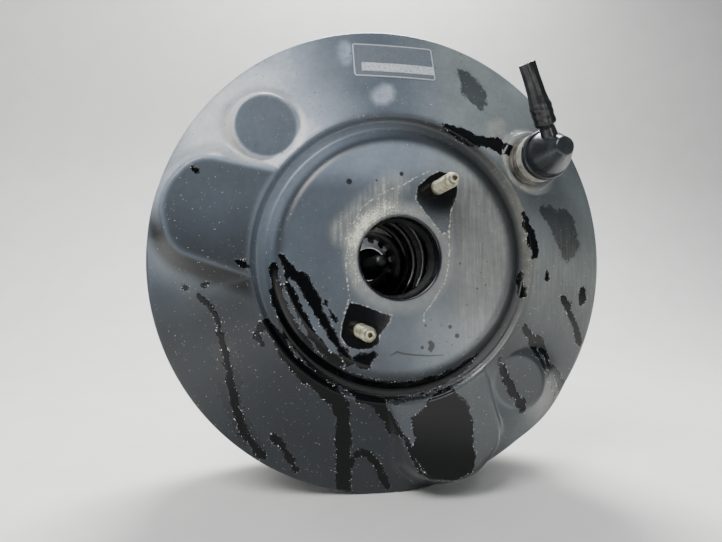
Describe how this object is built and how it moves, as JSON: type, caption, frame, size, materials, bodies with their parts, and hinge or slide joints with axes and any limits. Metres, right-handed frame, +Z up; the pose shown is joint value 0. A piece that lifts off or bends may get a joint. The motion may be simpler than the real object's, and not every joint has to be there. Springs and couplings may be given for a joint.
{
  "type": "brake booster",
  "caption": "Round vacuum brake booster with studs and a deep mouth for the master cylinder, a check valve with a hose stub, and a pedal rod with a clevis behind a rubber boot.",
  "frame": {"origin": "centre of the flat face that the master cylinder bolts to", "axes": "-Y out of that face towards the engine bay, +Y back through the booster to the bulkhead and the brake pedal, +Z up"},
  "size_m": [0.276, 0.2892, 0.276],
  "materials": {
    "black_paint": "semi-gloss",
    "zinc_steel": "satin",
    "bare_steel": "satin",
    "spring_steel": "satin",
    "retainer_steel": "satin",
    "black_rubber": "matte",
    "grommet_rubber": "matte",
    "hose_rubber": "matte",
    "housing_plastic": "matte",
    "guide_plastic": "matte",
    "pale_plastic": "matte",
    "black_plastic": "satin",
    "foam": "matte"
  },
  "bodies": {
    "casing": {"front_shell": "black_paint", "front_stiffener": "bare_steel", "cylinder_studs": "zinc_steel", "mouth_seal": "black_rubber", "seal_cup": "bare_steel", "rear_shell": "black_paint", "rear_stiffener": "bare_steel", "bulkhead_studs": "zinc_steel", "neck_guide": "guide_plastic", "neck_seal": "black_rubber", "dust_boot": "black_rubber", "diaphragm": "black_rubber", "return_spring": "spring_steel", "valve_grommet": "grommet_rubber"},
    "power_piston": {"control_housing": "housing_plastic", "stop_key": "bare_steel", "diaphragm_plate": "bare_steel", "reaction_disc": "black_rubber", "output_rod": "bare_steel", "rod_retainer": "retainer_steel", "poppet_valve": "black_rubber", "poppet_sleeve": "bare_steel", "poppet_spring": "spring_steel", "input_spring": "spring_steel", "air_filter": "foam", "filter_cap": "black_plastic"},
    "plunger": {"valve_plunger": "bare_steel"},
    "pedal_rod": {"input_rod": "zinc_steel", "clevis": "zinc_steel", "lock_nut": "zinc_steel"},
    "check_valve": {"valve_body": "pale_plastic", "valve_cap": "black_plastic", "valve_spring": "spring_steel", "hose_stub": "hose_rubber"},
    "non_return_disc": {"valve_disc": "black_rubber"}
  },
  "joints": [
    {"name": "power_stroke", "type": "slide", "parent": "casing", "child": "power_piston", "axis": [0, -1, 0], "range_m": [0, 0.038], "stiffness_N_per_m": 3000, "springref_m": -0.03, "deforming": ["return_spring", "diaphragm", "dust_boot"]},
    {"name": "plunger_travel", "type": "slide", "parent": "power_piston", "child": "plunger", "axis": [0, -1, 0], "range_m": [0, 0.002], "stiffness_N_per_m": 5000, "springref_m": -0.004, "deforming": ["input_spring", "dust_boot"]},
    {"name": "input_rod_tilt", "type": "hinge", "parent": "plunger", "child": "pedal_rod", "pos_m": [0, 0.1373, 0], "axis": [1, 0, 0], "range_deg": [-3, 3], "stiffness_Nm_per_rad": 3, "deforming": ["input_spring", "dust_boot"]},
    {"name": "check_valve_swivel", "type": "hinge", "parent": "casing", "child": "check_valve", "pos_m": [0.08181, 0, 0.0575], "axis": [0, -1, 0], "continuous": true},
    {"name": "check_valve_lift", "type": "slide", "parent": "check_valve", "child": "non_return_disc", "axis": [0, -1, 0], "range_m": [0, 0.002], "stiffness_N_per_m": 50, "springref_m": -0.004, "deforming": ["valve_spring"]}
  ]
}
